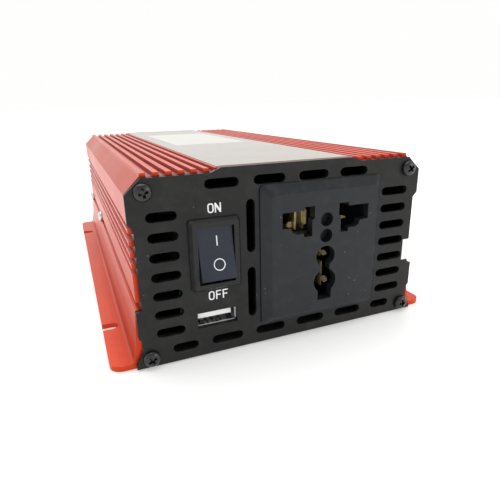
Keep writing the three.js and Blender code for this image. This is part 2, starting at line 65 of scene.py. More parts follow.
# ---------------------------------------------------------------- materials
def surf(name, col, rough, metal=0.0, var=0.10, nscale=70.0, stretch=(1, 1, 1), bump=0.08, bscale=1400.0, bstretch=None,
         rvar=0.12, spec=0.5, coat=0.0, coat_rough=0.15, dust=0.0, dustcol=(0.62, 0.58, 0.52), specks=0.0, scratch=0.0, aniso=0.0,
         alpha=1.0, trans=0.0):
    m = bpy.data.materials.new(name)
    m.use_nodes = True
    nt = m.node_tree
    N, L = nt.nodes, nt.links
    N.clear()
    out = N.new("ShaderNodeOutputMaterial")
    b = N.new("ShaderNodeBsdfPrincipled")
    L.new(b.outputs[0], out.inputs[0])
    b.inputs["Metallic"].default_value = metal
    b.inputs["Specular IOR Level"].default_value = spec
    b.inputs["Coat Weight"].default_value = coat
    b.inputs["Coat Roughness"].default_value = coat_rough
    b.inputs["Anisotropic"].default_value = aniso
    tc = N.new("ShaderNodeTexCoord")

    def mapped(s):
        mp = N.new("ShaderNodeMapping")
        mp.inputs["Scale"].default_value = s
        L.new(tc.outputs["Object"], mp.inputs[0])
        return mp.outputs[0]

    def noise(vec, scale, detail=5.0, r=0.55):
        n = N.new("ShaderNodeTexNoise")
        n.inputs["Scale"].default_value = scale
        n.inputs["Detail"].default_value = detail
        n.inputs["Roughness"].default_value = r
        L.new(vec, n.inputs["Vector"])
        return n.outputs["Fac"]

    def ramp(fac, a, c, lo, hi):
        mr = N.new("ShaderNodeMapRange")
        mr.inputs["From Min"].default_value = a
        mr.inputs["From Max"].default_value = c
        mr.inputs["To Min"].default_value = lo
        mr.inputs["To Max"].default_value = hi
        L.new(fac, mr.inputs["Value"])
        return mr.outputs[0]

    def mix(fac, a, c):
        mx = N.new("ShaderNodeMix")
        mx.data_type = "RGBA"
        L.new(fac, mx.inputs[0])
        for s, v in ((mx.inputs[6], a), (mx.inputs[7], c)):
            if isinstance(v, tuple):
                s.default_value = (*v, 1.0)
            else:
                L.new(v, s)
        return mx.outputs[2]

    base = mapped(stretch)
    plain = mapped((1, 1, 1))
    n1 = noise(base, nscale)
    n2 = noise(plain, 18.0, 3.0)
    dark = tuple(max(0.0, c * (1 - var)) for c in col)
    light = tuple(min(1.0, c * (1 + var)) for c in col)
    colour = mix(ramp(n1, 0.3, 0.7, 0, 1), dark, light)
    colour = mix(ramp(n2, 0.42, 0.75, 0, 0.35), colour, tuple(max(0.0, c * (1 - 1.6 * var)) for c in col))
    rough_out = ramp(n2, 0.3, 0.7, max(0.02, rough - rvar / 2), min(1.0, rough + rvar / 2))
    if dust > 0:
        g = N.new("ShaderNodeNewGeometry")
        sep = N.new("ShaderNodeSeparateXYZ")
        L.new(g.outputs["Normal"], sep.inputs[0])
        up = ramp(sep.outputs[2], 0.2, 1.0, 0.25, 1.0)
        dn = ramp(noise(plain, 240.0, 6.0, 0.7), 0.48, 0.78, 0.0, dust)
        mu = N.new("ShaderNodeMath"); mu.operation = "MULTIPLY"
        L.new(up, mu.inputs[0]); L.new(dn, mu.inputs[1])
        colour = mix(mu.outputs[0], colour, dustcol)
    if specks > 0:
        vo = N.new("ShaderNodeTexVoronoi")
        vo.inputs["Scale"].default_value = 420.0
        L.new(plain, vo.inputs["Vector"])
        sp = ramp(vo.outputs["Distance"], 0.02, 0.11, specks, 0.0)
        rnd = N.new("ShaderNodeMath"); rnd.operation = "GREATER_THAN"; rnd.inputs[1].default_value = 0.86
        sc = N.new("ShaderNodeSeparateColor")
        L.new(vo.outputs["Color"], sc.inputs[0]); L.new(sc.outputs[0], rnd.inputs[0])
        mu = N.new("ShaderNodeMath"); mu.operation = "MULTIPLY"; mu.use_clamp = True
        L.new(sp, mu.inputs[0]); L.new(rnd.outputs[0], mu.inputs[1])
        colour = mix(mu.outputs[0], colour, (0.5, 0.49, 0.47))
    if scratch > 0:
        sn = ramp(noise(mapped((14, 900, 60)), 3.0, 4.0, 0.7), 0.66, 0.74, 0.0, scratch)
        colour = mix(sn, colour, tuple(min(1.0, c * 1.7 + 0.05) for c in col))
    L.new(colour, b.inputs["Base Color"])
    L.new(rough_out, b.inputs["Roughness"])
    bn = noise(mapped(bstretch or stretch), bscale, 4.0)
    bp = N.new("ShaderNodeBump")
    bp.inputs["Strength"].default_value = bump
    bp.inputs["Distance"].default_value = 0.0001
    L.new(bn, bp.inputs["Height"])
    L.new(bp.outputs[0], b.inputs["Normal"])
    if trans:
        b.inputs["Transmission Weight"].default_value = trans
    return m


MAT = {
    "red": surf("red_anodised", (0.56, 0.052, 0.013), 0.34, 0.62, var=0.07, nscale=40, stretch=(30, 0.6, 30), bump=0.16, bscale=60,
                bstretch=(30, 0.5, 30), rvar=0.08, spec=0.30, dust=0.03),
    "panel": surf("black_panel", (0.0100, 0.0098, 0.0095), 0.42, 0.0, var=0.18, nscale=120, bump=0.10, bscale=2600, rvar=0.14, spec=0.26,
                  dust=0.06, specks=0.30, scratch=0.10),
    "blackscrew": surf("black_oxide", (0.007, 0.007, 0.0075), 0.24, 0.0, spec=0.55, var=0.25, nscale=500, bump=0.10, bscale=2500, rvar=0.14),
    "zinc": surf("bright_zinc", (0.66, 0.665, 0.68), 0.28, 1.0, var=0.08, nscale=300, bump=0.08, bscale=1800, rvar=0.12),
    "swframe": surf("switch_frame", (0.0105, 0.0110, 0.0120), 0.36, 0.0, spec=0.30, var=0.15, nscale=260, bump=0.10, bscale=3200, rvar=0.10, specks=0.12),
    "rocker": surf("switch_rocker", (0.0165, 0.0210, 0.0330), 0.36, 0.0, spec=0.32, var=0.12, nscale=260, bump=0.08, bscale=3200, rvar=0.10, specks=0.10),
    "brass": surf("brass", (0.88, 0.70, 0.33), 0.34, 0.72, var=0.14, nscale=220, bump=0.10, bscale=1600, rvar=0.16),
    "contact": surf("contact_brass", (0.88, 0.70, 0.33), 0.34, 0.72, var=0.14, nscale=220, bump=0.10, bscale=1600, rvar=0.16),
    # lighter copy of the brass: painted highlight for glints on the contact pads, lips and left pin leaf
    "brass_highlight": surf("brass_painted_highlight", (0.95, 0.80, 0.42), 0.22, 0.45, var=0.10, nscale=320, bump=0.08, bscale=1600, rvar=0.12),
    # near-white edge colour: painted highlight on the rim of the USB shell
    "edge": surf("edge_painted_highlight", (0.92, 0.92, 0.92), 0.30, 0.15, var=0.04, nscale=300, bump=0.05, bscale=2200, rvar=0.10),
    "brassdull": surf("dull_contact", (0.05, 0.046, 0.038), 0.45, 0.4, var=0.14, nscale=220, bump=0.10, bscale=1600, rvar=0.16),
    "steel": surf("bright_steel", (0.70, 0.71, 0.73), 0.22, 1.0, var=0.06, nscale=260, bump=0.06, bscale=1800, rvar=0.12),
    "white": surf("white_insulator", (0.93, 0.93, 0.92), 0.45, 0.0, var=0.04, nscale=300, bump=0.05, bscale=2200, rvar=0.10),
    "ink": surf("white_legend_ink", (0.80, 0.80, 0.82), 0.50, 0.0, var=0.06, nscale=900, bump=0.05, bscale=3000, rvar=0.10),
    "socket": surf("socket_plastic", (0.0100, 0.0132, 0.0160), 0.40, 0.0, var=0.14, nscale=130, bump=0.10, bscale=3000, rvar=0.12, spec=0.30,
                   dust=0.05, specks=0.32, scratch=0.06),
    "label": surf("label_film", (0.35, 0.320, 0.278), 0.34, 0.45, var=0.05, nscale=14, stretch=(1, 0.3, 1), bump=0.05, bscale=700, rvar=0.16,
                  dust=0.10, coat=0.25, coat_rough=0.12),
    "seal": surf("seal_paper", (0.86, 0.855, 0.84), 0.60, 0.0, var=0.04, nscale=400, bump=0.10, bscale=2400, rvar=0.10),
    "fanplastic": surf("fan_plastic", (0.016, 0.016, 0.018), 0.42, 0.0, var=0.18, nscale=200, bump=0.10, bscale=2600, rvar=0.12, dust=0.10),
    "termred": surf("terminal_red", (0.50, 0.018, 0.012), 0.34, 0.0, var=0.10, nscale=200, bump=0.06, bscale=2000, rvar=0.12, coat=0.2),
    "termblack": surf("terminal_black", (0.018, 0.018, 0.020), 0.34, 0.0, var=0.18, nscale=200, bump=0.06, bscale=2000, rvar=0.12, coat=0.2),
    "heatbar": surf("mill_aluminium", (0.60, 0.61, 0.62), 0.38, 1.0, var=0.08, nscale=40, stretch=(30, 0.6, 30), bump=0.12, bscale=60, rvar=0.1),
    "epoxy": surf("moulded_epoxy", (0.020, 0.020, 0.021), 0.52, 0.0, var=0.2, nscale=300, bump=0.12, bscale=2600, rvar=0.10),
    "ferrite": surf("ferrite", (0.060, 0.060, 0.065), 0.62, 0.1, var=0.16, nscale=180, bump=0.2, bscale=1800, rvar=0.1),
    "copper": surf("enamelled_copper", (0.62, 0.26, 0.08), 0.28, 0.85, var=0.14, nscale=240, bump=0.06, bscale=1800, rvar=0.14, coat=0.4),
    "sleeve": surf("capacitor_sleeve", (0.018, 0.030, 0.120), 0.34, 0.0, var=0.12, nscale=160, bump=0.05, bscale=1600, rvar=0.12, coat=0.2),
    "fuse": surf("fuse_body", (0.03, 0.16, 0.50), 0.28, 0.0, var=0.10, nscale=200, bump=0.05, bscale=1600, rvar=0.10, coat=0.3),
    "tape": surf("winding_tape", (0.72, 0.56, 0.14), 0.42, 0.0, var=0.08, nscale=200, bump=0.06, bscale=1600, rvar=0.1),
}


def shade_inside(m, x, z0, z1, y, k):
    """Painted shade: faces inside the tube of the extrusion painted near-black, standing in for the shade inside the
    closed case.
    """
    nt = m.node_tree
    N, L = nt.nodes, nt.links
    b = next(n for n in N if n.type == "BSDF_PRINCIPLED")
    src = b.inputs["Base Color"].links[0].from_socket
    tc = next(n for n in N if n.type == "TEX_COORD")
    sep = N.new("ShaderNodeSeparateXYZ")
    L.new(tc.outputs["Object"], sep.inputs[0])

    def op(kind, a, c, clamp=False):
        q = N.new("ShaderNodeMath")
        q.operation = kind
        q.use_clamp = clamp
        for s, v in ((q.inputs[0], a), (q.inputs[1], c)):
            if isinstance(v, (int, float)):
                s.default_value = v
            else:
                L.new(v, s)
        return q.outputs[0]

    ax = op("LESS_THAN", op("ABSOLUTE", sep.outputs[0], 0.0), x)
    ay = op("LESS_THAN", op("ABSOLUTE", op("ADD", sep.outputs[1], -y[1]), 0.0), y[0])
    az = op("MULTIPLY", op("GREATER_THAN", sep.outputs[2], z0), op("LESS_THAN", sep.outputs[2], z1))
    f = op("MULTIPLY", op("MULTIPLY", ax, ay), az)
    mx = N.new("ShaderNodeMix"); mx.data_type = "RGBA"
    L.new(f, mx.inputs[0])
    L.new(src, mx.inputs[6])
    mx.inputs[7].default_value = (*k, 1)
    L.new(mx.outputs[2], b.inputs["Base Color"])


def shade_grooves(m, k):
    """Painted shade low in the grooves between the ribs, darker by depth in the section."""
    nt = m.node_tree
    N, L = nt.nodes, nt.links
    b = next(n for n in N if n.type == "BSDF_PRINCIPLED")
    src = b.inputs["Base Color"].links[0].from_socket
    tc = next(n for n in N if n.type == "TEX_COORD")
    sep = N.new("ShaderNodeSeparateXYZ")
    L.new(tc.outputs["Object"], sep.inputs[0])

    def math_node(kind, a, c):
        q = N.new("ShaderNodeMath")
        q.operation = kind
        for s_, v_ in ((q.inputs[0], a), (q.inputs[1], c)):
            if isinstance(v_, (int, float)):
                s_.default_value = v_
            else:
                L.new(v_, s_)
        return q.outputs[0]

    def step(v_, a, c):
        r = N.new("ShaderNodeMapRange")
        r.interpolation_type = "SMOOTHSTEP"
        r.inputs["From Min"].default_value = a
        r.inputs["From Max"].default_value = c
        L.new(v_, r.inputs["Value"])
        return r.outputs[0]

    ax = math_node("ABSOLUTE", sep.outputs[0], 0.0)
    top = math_node("MULTIPLY", step(sep.outputs[2], 0.05915, 0.0583), math_node("GREATER_THAN", sep.outputs[2], 0.0579))
    top = math_node("MULTIPLY", top, math_node("LESS_THAN", ax, 0.0453))
    side = math_node("MULTIPLY", step(ax, 0.0500, 0.0489), math_node("GREATER_THAN", ax, 0.0480))
    band = math_node("MULTIPLY", math_node("GREATER_THAN", sep.outputs[2], 0.0192), math_node("LESS_THAN", sep.outputs[2], 0.0457))
    f = math_node("MULTIPLY", math_node("MAXIMUM", top, math_node("MULTIPLY", side, band)), 0.80)
    mx = N.new("ShaderNodeMix")
    mx.data_type = "RGBA"
    L.new(f, mx.inputs[0])
    L.new(src, mx.inputs[6])
    mx.inputs[7].default_value = (*k, 1)
    L.new(mx.outputs[2], b.inputs["Base Color"])


def pcb_material():
    m = surf("solder_mask", (0.010, 0.115, 0.045), 0.36, 0.0, var=0.12, nscale=120, bump=0.05, bscale=1500, rvar=0.12, coat=0.25)
    nt = m.node_tree
    b = next(n for n in nt.nodes if n.type == "BSDF_PRINCIPLED")
    src = b.inputs["Base Color"].links[0].from_socket
    tc = next(n for n in nt.nodes if n.type == "TEX_COORD")
    br = nt.nodes.new("ShaderNodeTexBrick")
    br.inputs["Scale"].default_value = 130.0
    br.inputs["Mortar Size"].default_value = 0.035
    br.inputs["Color1"].default_value = (0, 0, 0, 1)
    br.inputs["Color2"].default_value = (0, 0, 0, 1)
    br.inputs["Mortar"].default_value = (1, 1, 1, 1)
    nt.links.new(tc.outputs["Object"], br.inputs["Vector"])
    mx = nt.nodes.new("ShaderNodeMix"); mx.data_type = "RGBA"
    nt.links.new(br.outputs["Color"], mx.inputs[0])
    nt.links.new(src, mx.inputs[6])
    mx.inputs[7].default_value = (0.030, 0.24, 0.10, 1)
    nt.links.new(mx.outputs[2], b.inputs["Base Color"])
    return m


MAT["pcb"] = pcb_material()
ylo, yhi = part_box("housing_extrusion")[0][1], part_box("housing_extrusion")[1][1]
# painted shade: the faces inside the tube are darkened to near-black
shade_inside(MAT["red"], 0.0469, 0.00185, 0.05635, ((yhi - ylo) / 2 + 0.001, (yhi + ylo) / 2), (0.012, 0.007, 0.007))

# painted shade darkening the grooves between the ribs
shade_grooves(MAT["red"], (0.24, 0.030, 0.016))

def blank_block(m, x, y0, y1, k, amount):
    """Lighter, empty printed field on the film."""
    nt = m.node_tree
    N, L = nt.nodes, nt.links
    b = next(n for n in N if n.type == "BSDF_PRINCIPLED")
    src = b.inputs["Base Color"].links[0].from_socket
    tc = next(n for n in N if n.type == "TEX_COORD")
    sep = N.new("ShaderNodeSeparateXYZ")
    L.new(tc.outputs["Object"], sep.inputs[0])

    def node(kind, a, c):
        q = N.new("ShaderNodeMath")
        q.operation = kind
        for s_, v_ in ((q.inputs[0], a), (q.inputs[1], c)):
            if isinstance(v_, (int, float)):
                s_.default_value = v_
            else:
                L.new(v_, s_)
        return q.outputs[0]

    ax = node("LESS_THAN", node("ABSOLUTE", sep.outputs[0], 0.0), x)
    ay = node("MULTIPLY", node("GREATER_THAN", sep.outputs[1], y0), node("LESS_THAN", sep.outputs[1], y1))
    f = node("MULTIPLY", node("MULTIPLY", ax, ay), amount)
    mx = N.new("ShaderNodeMix")
    mx.data_type = "RGBA"
    L.new(f, mx.inputs[0])
    L.new(src, mx.inputs[6])
    mx.inputs[7].default_value = (*k, 1)
    L.new(mx.outputs[2], b.inputs["Base Color"])


def painted_recess_shade(m, y0, y1, k, amount):
    """Brass kept bright at the mouth and painted darker further in, as painted shade deep in the socket."""
    nt = m.node_tree
    N, L = nt.nodes, nt.links
    b = next(n for n in N if n.type == "BSDF_PRINCIPLED")
    src = b.inputs["Base Color"].links[0].from_socket
    tc = next(n for n in N if n.type == "TEX_COORD")
    sep = N.new("ShaderNodeSeparateXYZ")
    L.new(tc.outputs["Object"], sep.inputs[0])
    r = N.new("ShaderNodeMapRange")
    r.interpolation_type = "SMOOTHSTEP"
    r.inputs["From Min"].default_value = y0
    r.inputs["From Max"].default_value = y1
    r.inputs["To Max"].default_value = amount
    L.new(sep.outputs[1], r.inputs["Value"])
    mx = N.new("ShaderNodeMix")
    mx.data_type = "RGBA"
    L.new(r.outputs[0], mx.inputs[0])
    L.new(src, mx.inputs[6])
    mx.inputs[7].default_value = (*k, 1)
    L.new(mx.outputs[2], b.inputs["Base Color"])


# socket contacts painted darker further in: painted shade of the recess
painted_recess_shade(MAT["contact"], (4.6 + Y0) / 1000, (9.5 + Y0) / 1000, (0.10, 0.075, 0.035), 0.92)
blank_block(MAT["label"], 0.0165, (78.0 + Y0) / 1000, (152.0 + Y0) / 1000, (0.74, 0.72, 0.67), 0.55)

NODE_MAT = {"housing_extrusion": "red", "front_panel": "panel", "rear_panel": "panel", "switch_housing": "swframe", "switch_rocker": "rocker",
            "switch_terminal_1": "brass", "switch_terminal_2": "brass", "usb_shell": "steel", "usb_tongue": "white", "usb_board": "pcb",
            "socket_faceplate": "socket", "socket_body": "socket", "contact_line": "contact", "contact_neutral": "contact", "contact_earth": "contact",
            "top_label": "label", "seal_label": "seal", "fan_frame": "fanplastic", "fan_rotor": "fanplastic", "fan_guard": "zinc",
            "terminal_base_red": "termred", "terminal_knob_red": "termred", "terminal_base_black": "termblack", "terminal_knob_black": "termblack",
            "terminal_stud_red": "brass", "terminal_stud_black": "brass", "terminal_washer_red": "steel", "terminal_washer_black": "steel",
            "main_board": "pcb", "transformer_core": "ferrite", "transformer_winding": "copper", "input_capacitor_1": "sleeve",
            "input_capacitor_2": "sleeve", "output_capacitor": "epoxy", "choke": "copper", "fuse_1": "fuse", "fuse_2": "fuse",
            # insulation_sheet is dark epoxy laid over the floor of the tube so no lit red shows through the openings: a
            # dark sheet as painted shade
            "heat_bar_left": "heatbar", "heat_bar_right": "heatbar", "insulation_sheet": "epoxy"}
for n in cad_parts:
    key = NODE_MAT.get(n)
    if key is None:
        key = "blackscrew" if n.startswith(("front_screw", "rear_screw")) else "zinc" if "screw" in n else "epoxy"
    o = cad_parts[n]
    o.data.materials.clear()
    o.data.materials.append(MAT[key])


def smooth(o, deg=35):
    o.data.polygons.foreach_set("use_smooth", [True] * len(o.data.polygons))
    o.data.set_sharp_from_angle(angle=math.radians(deg))


def bevel(o, w, seg=2, deg=38):
    m = o.modifiers.new("edge_round", "BEVEL")
    m.width = w / 1000.0
    m.segments = seg
    m.limit_method = "ANGLE"
    m.angle_limit = math.radians(deg)
    m.use_clamp_overlap = True
    m.harden_normals = True
    return m


BEV = {"housing_extrusion": 0.18, "front_panel": 0.18, "rear_panel": 0.18, "switch_housing": 0.22, "switch_rocker": 0.25, "usb_shell": 0.07,
       "usb_tongue": 0.15, "socket_faceplate": 0.28, "socket_body": 0.3, "contact_line": 0.1, "contact_neutral": 0.1, "contact_earth": 0.1,
       "terminal_base_red": 0.3, "terminal_base_black": 0.3, "terminal_knob_red": 0.3, "terminal_knob_black": 0.3, "fan_frame": 0.25,
       "terminal_washer_red": 0.12, "terminal_washer_black": 0.12, "main_board": 0.15, "heat_bar_left": 0.2, "heat_bar_right": 0.2,
       "transformer_core": 0.4, "top_label": 0.04, "seal_label": 0.02, "fan_rotor": 0.12, "terminal_stud_red": 0.25, "terminal_stud_black": 0.25,
       "fuse_1": 0.4, "fuse_2": 0.4, "switch_terminal_1": 0.15, "switch_terminal_2": 0.15}
for n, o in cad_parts.items():
    smooth(o)
    if n in BEV:
        bevel(o, BEV[n])


# ---------------------------------------------------------------- mesh helpers
def new_obj(name, bm, mat, body="case", deg=35, remove_doubles=1e-7):
    bmesh.ops.remove_doubles(bm, verts=bm.verts, dist=remove_doubles)
    bmesh.ops.recalc_face_normals(bm, faces=bm.faces)
    me = bpy.data.meshes.new(name)
    bm.to_mesh(me)
    bm.free()
    o = bpy.data.objects.new(name, me)
    bpy.context.scene.collection.objects.link(o)
    o.data.materials.append(MAT[mat])
    smooth(o, deg)
    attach(o, body)
    return o


def lathe(bm, prof, n, mtx):
    """prof of (radius, height) in mm from axis to axis; mtx places it."""
    rings = []
    for r, h in prof:
        if r < 1e-6:
            rings.append([bm.verts.new(mtx @ Vector((0, 0, h)))])
        else:
            rings.append([bm.verts.new(mtx @ Vector((r * math.cos(2 * math.pi * i / n), r * math.sin(2 * math.pi * i / n), h))) for i in range(n)])
    for a, b in zip(rings, rings[1:]):
        for i in range(n):
            j = (i + 1) % n
            if len(a) == 1 and len(b) == 1:
                continue
            if len(a) == 1:
                bm.faces.new((a[0], b[i], b[j]))
            elif len(b) == 1:
                bm.faces.new((a[i], a[j], b[0]))
            else:
                bm.faces.new((a[i], a[j], b[j], b[i]))
    return rings


def place(origin, zdir, xdir=Vector((1, 0, 0))):
    """Matrix taking millimetres with +Z along zdir to metres at origin."""
    z = Vector(zdir).normalized()
    x = (Vector(xdir) - z * Vector(xdir).dot(z)).normalized()
    y = z.cross(x)
    m = Matrix(((x.x, y.x, z.x, 0), (x.y, y.y, z.y, 0), (x.z, y.z, z.z, 0), (0, 0, 0, 1)))
    return Matrix.Translation(origin) @ m @ Matrix.Scale(0.001, 4)


def sweep(bm, pts, r, seg=8, closed=False):
    """Round wire through pts (mm vectors) of radius r, in the row frame."""
    n = len(pts)
    rings = []
    up = None
    for i in range(n):
        if closed:
            t = pts[(i + 1) % n] - pts[i - 1]
        else:
            t = pts[min(i + 1, n - 1)] - pts[max(i - 1, 0)]
        t.normalize()
        if up is None:
            up = t.orthogonal().normalized()
        up = (up - t * up.dot(t)).normalized()
        side = t.cross(up)
        rings.append([bm.verts.new(W(*(pts[i] + (up * math.cos(2 * math.pi * k / seg) + side * math.sin(2 * math.pi * k / seg)) * r))) for k in range(seg)])
    last = n if closed else n - 1
    for i in range(last):
        a, b = rings[i], rings[(i + 1) % n]
        off = 0
        if closed and i == n - 1:
            off = min(range(seg), key=lambda s: (a[0].co - b[s].co).length)
        for k in range(seg):
            bm.faces.new((a[k], a[(k + 1) % seg], b[(k + 1 + off) % seg], b[(k + off) % seg]))
    if not closed:
        bm.faces.new(rings[0])
        bm.faces.new(rings[-1][::-1])


def slab(bm, pts, y0, y1):
    """Closed prism of an x-z outline between two depths, mm."""
    a = [bm.verts.new(W(x, y0, z)) for x, z in pts]
    b = [bm.verts.new(W(x, y1, z)) for x, z in pts]
    bm.faces.new(a)
    bm.faces.new(b[::-1])
    n = len(pts)
    for i in range(n):
        bm.faces.new((a[i], b[i], b[(i + 1) % n], a[(i + 1) % n]))


def cuboid(bm, x0, x1, y0, y1, z0, z1):
    slab(bm, [(x0, z0), (x1, z0), (x1, z1), (x0, z1)], y0, y1)


# ---------------------------------------------------------------- screws
def screw_mesh(name, rh, hh, rs, length, tilt):
    """Pan head with a tapered cross recess, a washer-like rim and a threaded-looking shank."""
    bm = bmesh.new()
    prof = [(0, hh)]
    for k in range(1, 9):
        a = k / 8 * math.pi / 2
        prof.append((rh * 0.985 * math.sin(a) ** 0.8 if k < 8 else rh * 0.985, hh * (0.30 + 0.70 * math.cos(a))))
    prof += [(rh, hh * 0.16), (rh * 0.985, 0.02), (rh * 0.95, 0.0), (rs, 0.0)]
    h = -0.4
    while h > -length + 1.0:
        prof += [(rs, h), (rs * 0.84, h - 0.25), (rs, h - 0.5)]
        h -= 0.6
    prof += [(rs * 0.9, -length + 0.4), (rs * 0.55, -length), (0, -length)]
    lathe(bm, prof, 40, Matrix.Identity(4))
    bmesh.ops.recalc_face_normals(bm, faces=bm.faces)
    me = bpy.data.meshes.new(name)
    bm.to_mesh(me); bm.free()
    o = bpy.data.objects.new(name, me)
    bpy.context.scene.collection.objects.link(o)
    cb = bmesh.new()
    w, l, d = rh * 0.15, rh * 0.60, hh * 0.62
    for rot in (0, 90):
        rm = Matrix.Rotation(math.radians(rot + tilt), 4, "Z")
        top = [(-l, -w), (l, -w), (l, w), (-l, w)]
        bot = [(-l * 0.45, -w * 0.7), (l * 0.45, -w * 0.7), (l * 0.45, w * 0.7), (-l * 0.45, w * 0.7)]
        t = [cb.verts.new(rm @ Vector((x * 1.12, y * 1.12, hh + 0.4))) for x, y in top]
        u = [cb.verts.new(rm @ Vector((x, y, hh - d))) for x, y in bot]
        cb.faces.new(t); cb.faces.new(u[::-1])
        for i in range(4):
            cb.faces.new((t[i], u[i], u[(i + 1) % 4], t[(i + 1) % 4]))
    bmesh.ops.recalc_face_normals(cb, faces=cb.faces)
    cm = bpy.data.meshes.new(name + "_cut")
    cb.to_mesh(cm); cb.free()
    c = bpy.data.objects.new(name + "_cut", cm)
    bpy.context.scene.collection.objects.link(c)
    bo = o.modifiers.new("recess", "BOOLEAN")
    bo.object = c
    bo.operation = "DIFFERENCE"
    bo.solver = "EXACT"
    bo.use_self = True
    dg = bpy.context.evaluated_depsgraph_get()
    res = bpy.data.meshes.new_from_object(o.evaluated_get(dg))
    bpy.data.objects.remove(o)
    bpy.data.objects.remove(c)
    return res


def put_screw(node, mesh, mat, axis, hh):
    lo, hi = (Vector(v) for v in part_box(node))
    c = (lo + hi) / 2
    if axis.y < 0:
        org = Vector((c.x, lo.y + hh / 1000, c.z))
    elif axis.y > 0:
        org = Vector((c.x, hi.y - hh / 1000, c.z))
    elif axis.x < 0:
        org = Vector((lo.x + hh / 1000, c.y, c.z))
    else:
        org = Vector((hi.x - hh / 1000, c.y, c.z))
    me = mesh.copy()
    me.transform(place(org, axis, Vector((0, 0, 1))))
    o = bpy.data.objects.new(node + "_fine", me)
    bpy.context.scene.collection.objects.link(o)
    me.materials.clear()
    me.materials.append(MAT[mat])
    smooth(o, 32)
    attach(o, "case")
    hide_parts(node)


for i, t in ((1, 12), (2, 38), (3, 28), (4, 5)):
    put_screw(f"front_screw_{i}", screw_mesh(f"fs{i}", 2.64, 2.0, 1.24, 7.9, t), "blackscrew", Vector((0, -1, 0)), 2.0)
for i, t in ((1, 20), (2, 50), (3, 75), (4, 33)):
    put_screw(f"rear_screw_{i}", screw_mesh(f"rs{i}", 2.64, 2.0, 1.24, 7.9, t), "blackscrew", Vector((0, 1, 0)), 2.0)
for i, t in ((1, 20), (2, 64), (3, 10), (4, 33)):
    put_screw(f"side_screw_{i}", screw_mesh(f"ss{i}", 2.79, 1.9, 1.44, 6.5, t), "zinc", Vector((-1 if i < 3 else 1, 0, 0)), 1.9)
    put_screw(f"fan_screw_{i}", screw_mesh(f"ns{i}", 2.88, 1.8, 1.58, 11.9, t + 17), "zinc", Vector((0, 1, 0)), 1.8)


# ---------------------------------------------------------------- legends
def ring_outline(w, h, r, n=8):
    out = []
    for cx_, cz_, a0 in ((w / 2 - r, -h / 2 + r, -90), (w / 2 - r, h / 2 - r, 0), (-w / 2 + r, h / 2 - r, 90), (-w / 2 + r, -h / 2 + r, 180)):
        for q in range(n + 1):
            a_ = math.radians(a0 + 90 * q / n)
            out.append((cx_ + r * math.cos(a_), cz_ + r * math.sin(a_)))
    return out


def ring_prism(bm, o, i_, cx, cz, y0, y1):
    """Closed ring between two outlines of as many points, mm."""
    v_ = [[bm.verts.new(W(cx + x, y, cz + z)) for x, z in pts] for pts, y in ((o, y0), (o, y1), (i_, y1), (i_, y0))]
    for a_, b_ in zip(v_, v_[1:] + v_[:1]):
        for q in range(len(o)):
            w_ = (q + 1) % len(o)
            bm.faces.new((a_[q], a_[w_], b_[w_], b_[q]))


def letters(name, text, cx, cz, h, y=0.0, gap=0.46, st=0.40, depth=0.05):
    """Upright condensed capitals printed on the panel."""
    ww = {"O": 1.9, "N": 1.95, "F": 1.72}
    total = sum(ww[c] for c in text) + gap * (len(text) - 1)
    x = cx - total / 2
    bm = bmesh.new()
    for c in text:
        w_ = ww[c]
        if c == "O":
            ring_prism(bm, ring_outline(w_, h, 0.86), ring_outline(w_ - 2 * st, h - 2 * st * 0.95, 0.50), x + w_ / 2, cz, y, y - depth)
        elif c == "N":
            t = st
            pts = [(0, 0), (t, 0), (t, h - 1.15), (w_ - t, 0), (w_, 0), (w_, h), (w_ - t, h), (w_ - t, 1.15), (t, h), (0, h)]
            slab(bm, [(x + a_, cz - h / 2 + b_) for a_, b_ in pts], y, y - depth)
        else:
            t = st
            pts = [(0, 0), (t, 0), (t, h / 2 - t / 2), (w_ - 0.2, h / 2 - t / 2), (w_ - 0.2, h / 2 + t / 2), (t, h / 2 + t / 2), (t, h - t), (w_, h - t), (w_, h), (0, h)]
            slab(bm, [(x + a_, cz - h / 2 + b_) for a_, b_ in pts], y, y - depth)
        x += w_ + gap
    return new_obj(name, bm, "ink")


letters("legend_on", "ON", -25.12, 47.95, 2.9, gap=0.30)
letters("legend_off", "OFF", -25.1, 20.4, 2.95)

# rocker marks, laid on the two slanted faces
PIV = (-25.5, 1.0, 33.9)
TILT = math.radians(-12)


def rk(x, y, z):
    """Rocker millimetres (about its pivot, level) to the row frame at rest."""
    c, s = math.cos(TILT), math.sin(TILT)
    return W(PIV[0] + x, PIV[1] + y * c - z * s, PIV[2] + y * s + z * c)


def face_y(z):
    a = abs(z)
    return -2.75 - 0.20 * a / 4 if a <= 4 else -2.95 - 0.45 * (a - 4) / 4


MX = 0.35
bm = bmesh.new()
for z0, z1 in ((2.35, 4.0), (4.0, 5.35)):
    q = [(MX - 0.17, z0), (MX + 0.17, z0), (MX + 0.17, z1), (MX - 0.17, z1)]
    a = [bm.verts.new(rk(x, face_y(z) + 0.02, z)) for x, z in q]
    b = [bm.verts.new(rk(x, face_y(z) - 0.04, z)) for x, z in q]
    bm.faces.new(a[::-1]); bm.faces.new(b)
    for i in range(4):
        bm.faces.new((a[i], a[(i + 1) % 4], b[(i + 1) % 4], b[i]))
bmesh.ops.remove_doubles(bm, verts=bm.verts, dist=1e-7)
new_obj("rocker_mark_on", bm, "ink", "rocker")
bm = bmesh.new()
n = 48
rings = []
OX, OZ = 0.45, -3.4
for r, dy in ((1.83, 0.02), (1.83, -0.04), (1.56, -0.04), (1.56, 0.02)):
    rings.append([bm.verts.new(rk(OX + r * math.cos(2 * math.pi * i / n), face_y(OZ + r * math.sin(2 * math.pi * i / n)) + dy, OZ + r * math.sin(2 * math.pi * i / n))) for i in range(n)])
for k in range(4):
    a, b = rings[k], rings[(k + 1) % 4]
    for i in range(n):
        bm.faces.new((a[i], a[(i + 1) % n], b[(i + 1) % n], b[i]))
new_obj("rocker_mark_off", bm, "ink", "rocker")

